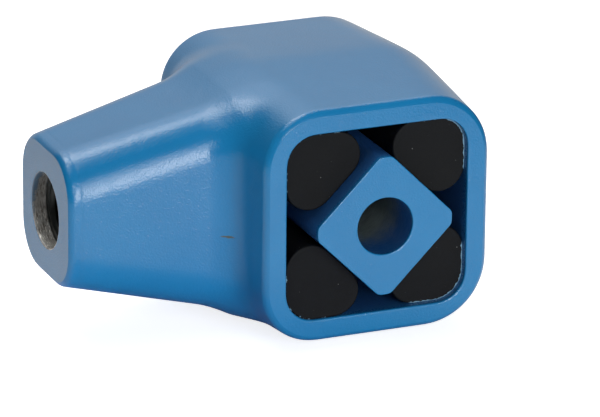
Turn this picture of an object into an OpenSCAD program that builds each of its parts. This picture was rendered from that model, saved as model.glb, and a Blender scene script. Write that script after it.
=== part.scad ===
// Torsional rubber suspension element, in millimetres.
// The origin is the centre of the core's bore. +Y runs along the bore, the neck points to -X, +Z is up.

/* [Core] */
// Side of the square bar, across its flats
core_side = 45; // [40:0.5:50]
// Diameter of the bore through the bar
core_bore_d = 24; // [16:0.5:30]
// Width of the flat that breaks each corner of the bar
core_corner_flat = 5.2; // [1:0.2:9]
// How far the bar stands out of the housing at each end
core_proud = 7.9; // [1:0.1:15]

/* [Tunnel] */
// Side of the square tunnel, wall to wall
tunnel_side = 78.6; // [74:0.2:84]
// Radius in the corners of the tunnel
tunnel_corner_r = 12.3; // [8:0.1:17]

/* [Rubber cords] */
// Radius of each free bulge of a squashed cord
cord_bulge_r = 10.5; // [7:0.1:12]
// How far the cut ends of the far side cords lie inside the rims
far_cord_recess = 3; // [0.5:0.1:10]
// How far the cut ends of the neck side cords lie inside the rims
neck_cord_recess = 0.8; // [0.2:0.1:10]
// Bond line between a cord and the bar, which keeps the two solids clear of each other
bond_gap = 0.02; // [0.01:0.01:0.2]

/* [Housing body] */
// Length of the housing along the bore, rim to rim
housing_len = 117.4; // [112:0.2:130]
// Wall between the tunnel and the outside, at the rims
rim_wall = 9.5; // [7:0.1:14]
// Growth of that wall from the rims to mid-length, where the mould parted
draft = 3.4; // [0:0.1:5]
// Radius of the two long outer corners on the neck's side
neck_side_corner_r = 23.6; // [16:0.2:30]
// Radius of the two long outer corners on the far side
far_side_corner_r = 26.4; // [16:0.2:30]
// Round on the outer edge of each rim
rim_round = 2.8; // [0.5:0.1:4]

/* [Neck] */
// Distance from the bore's axis to the neck's end face
neck_reach = 120.2; // [108:0.2:150]
// Side of the neck just behind its end face
neck_end_side = 56; // [48:0.5:66]
// Corner radius of the neck at its end
neck_end_corner_r = 18; // [10:0.2:23]
// Round on the edge of the end face
neck_end_round = 1.4; // [0.5:0.1:5]
// Width of the neck along the bore, where it meets the body
neck_root_w = 69; // [62:0.5:82]
// How far the neck's crown lies under the body's rim there
neck_root_drop = 3.7; // [1:0.1:7]
// Corner radius of the neck where it meets the body
neck_root_corner_r = 17.6; // [10:0.2:26]
// Softness of the hollow between neck and body
root_blend = 14.6; // [8:0.2:20]
// Radius on which the neck's crown dives into the body, past its root
crown_dive_r = 45; // [20:1:90]

/* [Tapped hole] */
// Diameter of the plain mouth
mouth_d = 31; // [26:0.5:36]
// Depth of the plain mouth
mouth_depth = 6; // [2:0.5:12]
// Outside diameter of the thread
thread_major_d = 24; // [20:1:25]
// Pitch of the thread
thread_pitch = 3; // [2:0.5:3]
// Depth of the full hole, from the end face
hole_depth = 50; // [30:1:55]
// Point angle of the drill
drill_point = 118; // [90:1:140]

/* [Hidden] */

$fn = 96;
slack = 1;

core_len = housing_len + 2 * core_proud;
tunnel_half = tunnel_side / 2;
rim_y = housing_len / 2;
rim_half = tunnel_half + rim_wall;
// Minor diameter of a metric thread
minor_per_pitch = 1.0825;
thread_minor_d = thread_major_d - minor_per_pitch * thread_pitch;
drill_tip = thread_minor_d / 2 / tan(drill_point / 2);

// Softness of the ridge at mid-length, as a share of the half length
ridge_soft = 0.12;

// Mesh of the casting: segments on each side of the neck's root, on a flat and on a corner arc
root_segs = 16;
flat_segs = 6;
arc_segs = root_segs - flat_segs;
ring_segs = 4 * root_segs;
round_segs = 4;
shoulder_segs = 3;
fan_segs = 5;
flare_segs = 4;
taper_segs = 6;
// Steps of halving along a ray, and the ray's inner end, which is always inside the metal
solve_steps = 22;
ray_start = 5;

// Half of the stretch of body length that the neck's root covers, with a margin on each side of its edge
root_margin = 10;
shoulder_margin = 4;
root_half = min(neck_root_w / 2 + root_margin, rim_y - rim_round - shoulder_margin);
// Where the hollow between neck and body begins, and the last straight ring before the fan
fan_share = 0.55;
flare_x = -rim_half - root_blend;
fan_x = -rim_half - fan_share * root_blend;
// Point on the neck's axis that the fan of rays leaves from
fan_hub = [-rim_half / 2, 0, 0];

function clamp01(v) = max(0, min(1, v));
function mix(a, b, t) = a + (b - a) * t;

// Distance from a rounded rectangle, negative inside it
function rounded_gap(u, v, half_u, half_v, r) =
    let (a = abs(u) - half_u + r, b = abs(v) - half_v + r)
    norm([max(a, 0), max(b, 0)]) + min(max(a, b), 0) - r;

// The lesser of two distances, with a hollow of softness k where they are close
function blended(a, b, k) =
    let (h = clamp01(0.5 + 0.5 * (b - a) / k))
    mix(b, a, h) - k * h * (1 - h);

// How much a rounded edge takes off a face, at a distance from the edge's plane
function edge_inset(distance, r) =
    let (d = clamp01(1 - distance / r) * r)
    r - sqrt(r * r - d * d);

// Half width of the body at a place along the bore
function body_half(y) =
    let (t = abs(y) / rim_y, s = ridge_soft)
    rim_half + draft * (1 - (norm([t, s]) - s) / (norm([1, s]) - s));

// Radius of the body's long corners, on the neck's side and on the far side
function corner_r(x) = x < 0 ? neck_side_corner_r : far_side_corner_r;

function body_gap(p) =
    let (half = body_half(p.y))
    rounded_gap(p.x, p.z, half, half, corner_r(p.x)) + edge_inset(rim_y - abs(p.y), rim_round);

// The neck widens from its end to its root, then its crown dives into the body
function neck_gap(p) =
    let (t = clamp01((p.x + neck_reach) / (neck_reach - rim_half)),
        dive = pow(max(p.x + rim_half, 0), 2) / (2 * crown_dive_r),
        half_w = mix(neck_end_side / 2, neck_root_w / 2, t),
        half_h = mix(neck_end_side / 2, rim_half - neck_root_drop, t) - dive,
        r = mix(neck_end_corner_r, neck_root_corner_r, t))
    max(rounded_gap(p.y, p.z, half_w, half_h, r)
        + edge_inset(p.x + neck_reach, neck_end_round), p.x);

function cast_gap(p) = blended(body_gap(p), neck_gap(p), root_blend);

// Where a ray from an inner point leaves the casting, found by halving
function skin(hub, way, near, far, steps) =
    let (mid = (near + far) / 2)
    steps == 0 ? hub + mid * way
    : cast_gap(hub + mid * way) < 0 ? skin(hub, way, mid, far, steps - 1)
    : skin(hub, way, near, mid, steps - 1);

function skin_towards(hub, seed) =
    skin(hub, (seed - hub) / norm(seed - hub), ray_start, 2 * rim_half, solve_steps);

// Outline of a plain rounded square, from its upper neck-side corner over the top and round
function corner_arc(from_deg, first, last) =
    let (side_x = sign(cos(from_deg - 45)), r = corner_r(side_x), c = rim_half - r)
    [for (i = [first:last]) let (a = from_deg - i * 90 / arc_segs)
        [side_x * c + r * cos(a), sign(sin(from_deg - 45)) * c + r * sin(a)]];
function flat_run(a, b) = [for (i = [1:flat_segs - 1]) a + (b - a) * i / flat_segs];
function ring_seeds() =
    let (half_arc = arc_segs / 2,
        nw1 = corner_arc(180, half_arc, arc_segs), ne = corner_arc(90, 0, arc_segs),
        se = corner_arc(0, 0, arc_segs), sw = corner_arc(-90, 0, arc_segs),
        nw0 = corner_arc(180, 0, half_arc - 1))
    concat(nw1, flat_run(nw1[half_arc], ne[0]), ne, flat_run(ne[arc_segs], se[0]),
        se, flat_run(se[arc_segs], sw[0]), sw, flat_run(sw[arc_segs], nw0[0]), nw0);

// Places along the bore: the rounded rim, the shoulder, then the stretch that holds the neck's root
function rim_rows() = concat(
    [for (i = [0:round_segs]) rim_y - rim_round * (1 - cos(i * 90 / round_segs))],
    [for (i = [1:shoulder_segs - 1]) mix(rim_y - rim_round, root_half, i / shoulder_segs)]);
function body_rows() = concat(
    [for (y = rim_rows()) -y],
    [for (i = [0:root_segs]) mix(-root_half, root_half, i / root_segs)],
    [for (i = [len(rim_rows()) - 1:-1:0]) rim_rows()[i]]);

// Places along the neck, from its root to its end face
function neck_rows() = concat(
    [for (i = [0:flare_segs - 1]) mix(fan_x, flare_x, i / flare_segs)],
    [for (i = [0:taper_segs - 1]) mix(flare_x, neck_end_round - neck_reach, i / taper_segs)],
    [for (i = [0:round_segs]) neck_end_round * (1 - sin(i * 90 / round_segs)) - neck_reach]);

function split(a, b, c, d) = [[a, b, c], [a, c, d]];

module casting() {
    seeds = ring_seeds();
    rows = body_rows();
    open_row = len(rim_rows());
    shut_row = open_row + root_segs;
    // Rows between these two leave out the ring's neck side, which the neck's root fills
    band = ring_segs - root_segs;
    function is_open(i) = i > open_row && i < shut_row;
    function row_len(i) = is_open(i) ? band + 1 : ring_segs;
    function row_start(i) =
        i <= open_row ? i * ring_segs
        : i <= shut_row ? (open_row + 1) * ring_segs + (i - open_row - 1) * (band + 1)
        : row_start(shut_row) + (i - shut_row) * ring_segs;
    function at(i, j) = row_start(i) + j % ring_segs;

    body_points = [for (i = [0:len(rows) - 1]) for (j = [0:row_len(i) - 1])
        skin_towards([0, rows[i], 0], [seeds[j].x, rows[i], seeds[j].y])];

    // The edge of the root: up the near side, over the top, down the far side and back below
    root_edge = concat(
        [for (k = [0:root_segs - 1]) at(open_row, band + k)],
        [for (k = [0:root_segs - 1]) at(open_row + k, 0)],
        [for (k = [0:root_segs - 1]) at(shut_row, ring_segs - k)],
        [for (k = [0:root_segs - 1]) at(shut_row - k, band)]);
    edge_way = [for (k = [0:ring_segs - 1])
        let (side = floor(k / root_segs), n = k % root_segs,
            rise = [for (m = [0:root_segs]) seeds[(band + m) % ring_segs].y / seeds[0].y],
            run = 2 * n / root_segs - 1)
        side == 0 ? [0, -1, rise[n]]
        : side == 1 ? [0, run, 1]
        : side == 2 ? [0, 1, rise[root_segs - n]]
        : [0, -run, -1]];

    neck_x = neck_rows();
    neck_rings = [for (x = neck_x) [for (w = edge_way) skin_towards([x, 0, 0], [x, 0, 0] + w)]];
    fan_rings = [for (n = [1:fan_segs]) [for (k = [0:ring_segs - 1])
        skin_towards(fan_hub, mix(body_points[root_edge[k]], neck_rings[0][k], n / (fan_segs + 1)))]];
    loose_rings = concat(fan_rings, neck_rings);
    first_loose = len(body_points);
    function ring_at(n, k) =
        n == 0 ? root_edge[k % ring_segs] : first_loose + (n - 1) * ring_segs + k % ring_segs;

    body_faces = [for (i = [0:len(rows) - 2])
        for (j = [0:(i >= open_row && i < shut_row ? band : ring_segs) - 1])
        each split(at(i, j), at(i + 1, j), at(i + 1, j + 1), at(i, j + 1))];
    neck_faces = [for (n = [0:len(loose_rings) - 1]) for (k = [0:ring_segs - 1])
        each split(ring_at(n, k), ring_at(n + 1, k), ring_at(n + 1, k + 1), ring_at(n, k + 1))];
    near_rim = [for (j = [0:ring_segs - 1]) at(0, j)];
    far_rim = [for (j = [ring_segs - 1:-1:0]) at(len(rows) - 1, j)];
    end_face = [for (k = [ring_segs - 1:-1:0]) ring_at(len(loose_rings), k)];

    polyhedron(
        points = concat(body_points, [for (ring = loose_rings) each ring]),
        faces = concat(body_faces, neck_faces, [near_rim, far_rim, end_face]),
        convexity = 4);
}

module tunnel_section() {
    square([tunnel_side, tunnel_side - 2 * tunnel_corner_r], center = true);
    square([tunnel_side - 2 * tunnel_corner_r, tunnel_side], center = true);
    for (side_x = [-1, 1], side_z = [-1, 1])
        translate([side_x, side_z] * (tunnel_half - tunnel_corner_r)) circle(tunnel_corner_r);
}

// An outline in X and Z, run along the bore's axis
module along_bore(length) {
    rotate([90, 0, 0]) linear_extrude(height = length, center = true) children();
}

module tapped_hole() {
    translate([-neck_reach, 0, 0]) rotate([0, 90, 0]) {
        translate([0, 0, -slack]) cylinder(d = mouth_d, h = mouth_depth + slack);
        cylinder(d = thread_minor_d, h = hole_depth);
        translate([0, 0, hole_depth]) cylinder(d1 = thread_minor_d, d2 = 0, h = drill_tip);
        // Countersink that leads a screw into the thread
        translate([0, 0, mouth_depth])
            cylinder(d1 = thread_major_d, d2 = thread_minor_d, h = (thread_major_d - thread_minor_d) / 2);
    }
}

module housing() {
    color("steelblue") difference() {
        casting();
        along_bore(housing_len + 2 * slack) tunnel_section();
        tapped_hole();
    }
}

module core() {
    corner_half = core_side / sqrt(2) - core_corner_flat / 2;
    color("steelblue") difference() {
        along_bore(core_len) intersection() {
            rotate(45) square(core_side, center = true);
            square(2 * corner_half, center = true);
        }
        along_bore(core_len + 2 * slack) circle(d = core_bore_d);
    }
}

// A round cord pressed into a tunnel corner: flat on both walls and on the core, bulging between them
module cord_section() {
    bulge_out = tunnel_half - cord_bulge_r;
    bulge_in = (core_side / 2 + bond_gap + cord_bulge_r) * sqrt(2) - bulge_out;
    to_core = cord_bulge_r / sqrt(2);
    corner = tunnel_half - tunnel_corner_r;
    polygon([
        [bulge_out - to_core, bulge_in - to_core],
        [tunnel_half, bulge_in],
        [tunnel_half, corner],
        [corner, tunnel_half],
        [bulge_in, tunnel_half],
        [bulge_in - to_core, bulge_out - to_core]]);
    translate([bulge_in, bulge_out]) circle(cord_bulge_r);
    translate([bulge_out, bulge_in]) circle(cord_bulge_r);
    translate([corner, corner]) circle(tunnel_corner_r);
}

// The cord of one tunnel corner, counted in quarter turns from the upper far side
module rubber_cord(quarter, recess) {
    color("#242425") rotate([0, -90 * quarter, 0]) along_bore(housing_len - 2 * recess) cord_section();
}

housing();
core();
rubber_cord(1, neck_cord_recess);  // rubber_cord_upper_neck_side
rubber_cord(0, far_cord_recess);  // rubber_cord_upper_far_side
rubber_cord(2, neck_cord_recess);  // rubber_cord_lower_neck_side
rubber_cord(3, far_cord_recess);  // rubber_cord_lower_far_side
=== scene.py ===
"""Looks of a torsional rubber suspension element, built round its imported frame.

A blue painted casting with a tapered neck holds four squashed rubber cords and a square core that is
turned 45 degrees. The bore runs along Y, the neck points to -X and Z is up. All lengths are metres.
"""

import logging
import math
from collections.abc import Callable
from dataclasses import dataclass, field
from enum import Enum
from functools import partial

import bmesh
import bpy
import numpy as np
from bmesh.types import BMEdge, BMesh, BMFace, BMVert
from mathutils import Matrix, Vector


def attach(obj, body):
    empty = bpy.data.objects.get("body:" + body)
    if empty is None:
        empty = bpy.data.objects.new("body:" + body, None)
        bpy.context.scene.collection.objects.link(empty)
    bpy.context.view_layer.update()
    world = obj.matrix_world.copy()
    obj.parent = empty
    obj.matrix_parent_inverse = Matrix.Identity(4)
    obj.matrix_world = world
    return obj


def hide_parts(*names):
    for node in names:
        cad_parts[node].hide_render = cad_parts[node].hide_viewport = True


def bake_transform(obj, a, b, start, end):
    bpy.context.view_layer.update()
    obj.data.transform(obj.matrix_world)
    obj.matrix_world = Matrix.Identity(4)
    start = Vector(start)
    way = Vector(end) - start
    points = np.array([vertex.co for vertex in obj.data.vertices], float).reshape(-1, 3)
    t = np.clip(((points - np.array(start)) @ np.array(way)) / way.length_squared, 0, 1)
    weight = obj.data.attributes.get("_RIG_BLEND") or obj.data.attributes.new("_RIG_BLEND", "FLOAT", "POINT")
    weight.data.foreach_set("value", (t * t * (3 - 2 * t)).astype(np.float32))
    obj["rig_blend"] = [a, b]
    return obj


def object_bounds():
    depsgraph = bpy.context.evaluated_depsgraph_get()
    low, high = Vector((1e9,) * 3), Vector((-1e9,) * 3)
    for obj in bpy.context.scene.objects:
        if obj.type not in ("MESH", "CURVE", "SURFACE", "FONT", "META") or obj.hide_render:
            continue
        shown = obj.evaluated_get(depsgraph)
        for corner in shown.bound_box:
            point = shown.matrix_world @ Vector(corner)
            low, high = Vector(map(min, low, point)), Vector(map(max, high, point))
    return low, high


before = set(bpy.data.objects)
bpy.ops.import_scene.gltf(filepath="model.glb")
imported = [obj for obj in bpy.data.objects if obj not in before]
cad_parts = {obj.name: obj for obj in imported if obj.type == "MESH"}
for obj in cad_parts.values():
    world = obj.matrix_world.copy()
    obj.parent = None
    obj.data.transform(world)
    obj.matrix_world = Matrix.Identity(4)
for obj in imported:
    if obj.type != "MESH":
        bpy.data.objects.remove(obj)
cad_low, cad_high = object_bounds()

logging.basicConfig(level=logging.INFO, format="%(name)s: %(message)s")
LOG = logging.getLogger("mount")

MM = 0.001
# Segments round the tube of the body, which is also the count round the neck and the openings
AROUND = 128
# Steps of halving along a ray, and how far from its hub a ray is still inside, in thick and thin forms
HALVINGS = 26
RAY_START = 5 * MM
SHORT_RAY_START = 1 * MM
# Waves that cross in a ripple
WAVES = 6
# The edge layer that subdivision reads as sharpness
CREASE_LAYER = "crease_edge"
# Turns a circle out of the XY plane, so that it goes round the Y axis
ROUND_Y = Matrix.Rotation(math.pi / 2, 4, "X")

Place = Callable[[np.ndarray], np.ndarray]
Gap = Callable[[np.ndarray], np.ndarray]
Colour = tuple[float, float, float]
Socket = bpy.types.NodeSocket

WHITE: Colour = (1.0, 1.0, 1.0)


class Body(Enum):
    """The two bodies that the joint turns against each other."""

    CASING = "casing"
    CORE = "core"


class Slot(Enum):
    """The material slots of the record."""

    PAINT = "blue_paint"
    RUBBER = "black_rubber"


class Quarter(Enum):
    """The tunnel corners, as node names with the signs of X and Z."""

    UPPER_FAR = ("rubber_cord_upper_far_side", 1, 1)
    UPPER_NECK = ("rubber_cord_upper_neck_side", -1, 1)
    LOWER_NECK = ("rubber_cord_lower_neck_side", -1, -1)
    LOWER_FAR = ("rubber_cord_lower_far_side", 1, -1)


class Mark(Enum):
    """The mesh attributes that tell a finish where it lies on a piece."""

    # Painted shade of the paint inside the tunnel and on the core's sides
    PAINTED_SHADE = "inside"
    MIST = "mist"


def unit(vectors: np.ndarray) -> np.ndarray:
    """Scales each row to length one."""
    return vectors / np.linalg.norm(vectors, axis=1, keepdims=True)


def mix(a: np.ndarray | float, b: np.ndarray | float, share: np.ndarray | float) -> np.ndarray | float:
    """Goes from a at share 0 to b at share 1."""
    return a + (b - a) * share


def clamped(value: float) -> float:
    """Keeps a value between 0 and 1."""
    return min(1.0, max(0.0, value))


def repeated(point: list[float] | np.ndarray, points: np.ndarray) -> np.ndarray:
    """Repeats one point, once for each of the points."""
    return np.tile(point, (len(points), 1))


def rounded_gap(u: np.ndarray, v: np.ndarray, half_u: np.ndarray | float, half_v: np.ndarray | float,
                radius: np.ndarray | float) -> np.ndarray:
    """Measures the distance from a rounded rectangle.

    Args:
        u: First coordinate of each point.
        v: Second coordinate of each point.
        half_u: Half of the rectangle's size along u.
        half_v: Half of its size along v.
        radius: Radius of its corners.

    Returns:
        The distance of each point, negative inside the rectangle.
    """
    a = np.abs(u) - half_u + radius
    b = np.abs(v) - half_v + radius
    return np.hypot(np.maximum(a, 0), np.maximum(b, 0)) + np.minimum(np.maximum(a, b), 0) - radius


def blended(a: np.ndarray, b: np.ndarray, softness: float) -> np.ndarray:
    """Takes the lesser of two distances, with a hollow where they are close.

    Args:
        a: Distance from the first form.
        b: Distance from the second form.
        softness: Width of the hollow.

    Returns:
        The distance from the two forms together.
    """
    share = np.clip(0.5 + 0.5 * (b - a) / softness, 0, 1)
    return mix(b, a, share) - softness * share * (1 - share)


def edge_inset(distance: np.ndarray, radius: float, cut: float) -> np.ndarray:
    """Tells how much a rounded edge takes off a side, where a flat face cuts the round short.

    Args:
        distance: Distance from the flat face.
        radius: Radius of the round.
        cut: How much of the round's depth the face has taken off.

    Returns:
        The inset at each distance.
    """
    depth = np.clip(radius - cut - distance, 0, radius)
    return radius - np.sqrt(radius * radius - depth * depth)


def cut_round(radius: float, cut: float, steps: int) -> list[float]:
    """Lists depths under the flat face along such an edge, from the face to the round's end."""
    steepest = math.asin(1 - cut / radius)
    return [radius - cut - radius * math.sin(steepest * (1 - i / steps)) for i in range(steps + 1)]


def reach(gap: Gap, hubs: np.ndarray, ways: np.ndarray, near: float, far: float) -> np.ndarray:
    """Finds where rays from inner points leave a form.

    Args:
        gap: Distance from the form, negative inside it.
        hubs: Start of each ray, inside the form.
        ways: Direction of each ray.
        near: Distance along the rays that is inside the form.
        far: Distance along the rays that is outside the form.

    Returns:
        The points on the form's skin.
    """
    ways = unit(ways)
    inner = np.full(len(ways), near)
    outer = np.full(len(ways), far)
    for _ in range(HALVINGS):
        middle = (inner + outer) / 2
        inside = gap(hubs + middle[:, None] * ways) < 0
        inner = np.where(inside, middle, inner)
        outer = np.where(inside, outer, middle)
    return hubs + inner[:, None] * ways


def move(verts: list[BMVert], place: Place) -> None:
    """Moves vertices to where a rule places them.

    Args:
        verts: The vertices to move.
        place: Gives new points for old ones.
    """
    points = place(np.array([v.co[:] for v in verts]))
    for vert, point in zip(verts, points):
        vert.co = point


def grow(bm: BMesh, ring: list[BMEdge], place: Place, material: int = 0) -> list[BMEdge]:
    """Extrudes a ring of edges by one step.

    Args:
        bm: The mesh that is being built.
        ring: Edges of the last ring.
        place: Gives the new ring's points for the old ones.
        material: Material index of the new faces.

    Returns:
        Edges of the new ring.
    """
    made = bmesh.ops.extrude_edge_only(bm, edges=ring)["geom"]
    verts = [g for g in made if isinstance(g, BMVert)]
    fresh = set(verts)
    move(verts, place)
    for face in {f for v in verts for f in v.link_faces}:
        face.material_index = material
    return [g for g in made if isinstance(g, BMEdge) and g.verts[0] in fresh and g.verts[1] in fresh]


def ring_verts(ring: list[BMEdge]) -> list[BMVert]:
    """Lists the vertices of a ring, each once."""
    return list(dict.fromkeys(v for e in ring for v in e.verts))


def first_ring(bm: BMesh, count: int, place: Place) -> list[BMEdge]:
    """Starts a mesh with a ring of edges round the Y axis.

    Args:
        bm: The empty mesh.
        count: Number of vertices in the ring.
        place: Gives the ring's points for those of the unit circle.

    Returns:
        Edges of the ring.
    """
    bmesh.ops.create_circle(bm, segments=count, radius=1.0, cap_ends=False, matrix=ROUND_Y)
    move(list(bm.verts), place)
    return list(bm.edges)


def keep_crisp(bm: BMesh, edges: list[BMEdge]) -> None:
    """Keeps edges sharp, under subdivision and in the shading.

    Args:
        bm: The mesh, which has a crease layer.
        edges: The edges.
    """
    crease = bm.edges.layers.float[CREASE_LAYER]
    for edge in edges:
        edge[crease] = 1.0
        edge.smooth = False


def quarter_round(radius: float, steps: int) -> list[tuple[float, float]]:
    """Lists inset and depth along a quarter round, from the flat face to the wall.

    Args:
        radius: Radius of the round.
        steps: Number of segments.

    Returns:
        Pairs of distance from the wall and depth under the face.
    """
    angles = [math.pi / 2 * i / steps for i in range(steps + 1)]
    return [(radius * (1 - math.sin(a)), radius * (1 - math.cos(a))) for a in angles]


def ripple(points: np.ndarray, height: float, wave: float) -> np.ndarray:
    """Makes a smooth unevenness over space out of a few crossing waves.

    Args:
        points: Where it is wanted.
        height: Greatest height.
        wave: Shortest wave length.

    Returns:
        The height at each point.
    """
    total = np.zeros(len(points))
    # The numbers only spread the waves' directions, lengths and starts, so that no two are alike
    for i in range(1, WAVES + 1):
        way = np.array([math.sin(2.1 * i), math.cos(3.7 * i), math.sin(1.3 * i + 0.8)])
        length = wave * (1 + 0.37 * (i % 4))
        total += np.sin(points @ unit(way[None])[0] * 2 * math.pi / length + 1.9 * i)
    return height * total / WAVES


def finished_piece(bm: BMesh, name: str, levels: int, finishes: list[bpy.types.Material]) -> bpy.types.Object:
    """Turns a mesh into a smooth-shaded piece with its materials.

    Args:
        bm: The built mesh, which is freed.
        name: Name of the piece.
        levels: Levels of subdivision.
        finishes: Materials, in the order of the faces' material indices.

    Returns:
        The new object, which is linked to the scene.
    """
    bmesh.ops.recalc_face_normals(bm, faces=bm.faces)
    for face in bm.faces:
        face.smooth = True
    mesh = bpy.data.meshes.new(name)
    bm.to_mesh(mesh)
    bm.free()
    for finish in finishes:
        mesh.materials.append(finish)
    piece = bpy.data.objects.new(name, mesh)
    bpy.context.scene.collection.objects.link(piece)
    if levels:
        smoother = piece.modifiers.new("Smooth", "SUBSURF")
        smoother.levels = levels
        smoother.render_levels = levels
    return piece


class Bench:
    """Places and joins the nodes of one tree."""

    def __init__(self, tree: bpy.types.NodeTree) -> None:
        """Clears the tree and keeps it."""
        self.tree = tree
        tree.nodes.clear()

    def feed(self, socket: Socket, value: object) -> None:
        """Joins an input to another node's output, or sets its own value.

        Args:
            socket: The input.
            value: An output, or a plain value.
        """
        if isinstance(value, Socket):
            self.tree.links.new(value, socket)
        else:
            socket.default_value = value

    def add(self, kind: str, values: dict | None = None, **settings: object) -> bpy.types.Node:
        """Adds a node.

        Args:
            kind: The node's type, without the words ShaderNode at its start.
            values: Sockets by name or index, with a value or another node's output.
            **settings: Properties of the node.

        Returns:
            The new node.
        """
        prefix = "" if kind.startswith("NodeGroup") else "ShaderNode"
        node = self.tree.nodes.new(prefix + kind)
        for key, value in settings.items():
            setattr(node, key, value)
        for key, value in (values or {}).items():
            self.feed(node.inputs[key], value)
        return node

    def maths(self, operation: str, *values: object) -> Socket:
        """Adds a Math node and gives its output, from numbers or outputs in order."""
        return self.add("Math", dict(enumerate(values)), operation=operation).outputs[0]

    def plus(self, base: object, value: Socket, share: object) -> Socket:
        """Adds a share of a value to a base."""
        return self.maths("ADD", base, self.maths("MULTIPLY", value, share))

    def squared(self, value: Socket) -> Socket:
        """Multiplies a value by itself."""
        return self.maths("MULTIPLY", value, value)

    def vector(self, operation: str, *values: object) -> Socket:
        """Adds a Vector Math node and gives its vector."""
        return self.add("VectorMath", dict(enumerate(values)), operation=operation).outputs["Vector"]

    def measure(self, operation: str, *values: object) -> Socket:
        """Adds a Vector Math node and gives its number."""
        return self.add("VectorMath", dict(enumerate(values)), operation=operation).outputs["Value"]

    def coordinate(self, where: Socket, axis: str) -> Socket:
        """Gives a point's X, Y or Z."""
        return self.add("SeparateXYZ", {0: where}).outputs[axis]

    def ramp(self, value: Socket, low: float, high: float) -> Socket:
        """Goes smoothly from 0 at low to 1 at high.

        Args:
            value: The output that drives it.
            low: Where it leaves 0.
            high: Where it reaches 1.

        Returns:
            The ramp's output.
        """
        flip = low > high
        ends = {"From Min": min(low, high), "From Max": max(low, high),
                "To Min": 1.0 if flip else 0.0, "To Max": 0.0 if flip else 1.0}
        node = self.add("MapRange", {"Value": value, **ends}, interpolation_type="SMOOTHSTEP")
        return node.outputs["Result"]

    def tint(self, share: object, a: object, b: object) -> Socket:
        """Mixes two colours.

        Args:
            share: How much of b, as a number or an output.
            a: First colour.
            b: Second colour.

        Returns:
            The mixed colour.
        """
        colours = [(*c, 1.0) if isinstance(c, tuple) else c for c in (a, b)]
        node = self.add("Mix", {0: share}, data_type="RGBA")
        for socket, colour in zip([s for s in node.inputs if s.type == "RGBA"], colours):
            self.feed(socket, colour)
        return next(s for s in node.outputs if s.type == "RGBA")

    def noise(self, where: Socket, grain: object, detail: float) -> Socket:
        """Adds a noise.

        Args:
            where: Coordinates, in metres.
            grain: Size of its lumps, in metres.
            detail: Octaves.

        Returns:
            Values round 0.5.
        """
        scale = self.maths("DIVIDE", 1.0, grain) if isinstance(grain, Socket) else 1 / grain
        return self.add("TexNoise", {"Vector": where, "Scale": scale, "Detail": detail}).outputs["Fac"]

    def wobble(self, where: Socket, grain: float, detail: float) -> Socket:
        """Adds a noise whose values lie round 0."""
        return self.maths("SUBTRACT", self.noise(where, grain, detail), 0.5)

    def group(self, effect: bpy.types.NodeTree, values: dict) -> bpy.types.Node:
        """Places a node group, with values as in add."""
        return self.add("Group", values, node_tree=effect)


def new_effect(name: str, inputs: dict[str, str], outputs: dict[str, str]) -> tuple[Bench, object, object]:
    """Starts a node group for an effect that several finishes share.

    Args:
        name: Name of the group.
        inputs: Input names with Float, Vector or Color.
        outputs: Output names with the same.

    Returns:
        The bench, the group's input node and its output node.
    """
    tree = bpy.data.node_groups.new(name, "ShaderNodeTree")
    for label, kind in inputs.items():
        tree.interface.new_socket(label, in_out="INPUT", socket_type="NodeSocket" + kind)
    for label, kind in outputs.items():
        tree.interface.new_socket(label, in_out="OUTPUT", socket_type="NodeSocket" + kind)
    bench = Bench(tree)
    return bench, bench.add("NodeGroupInput"), bench.add("NodeGroupOutput")


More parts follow.
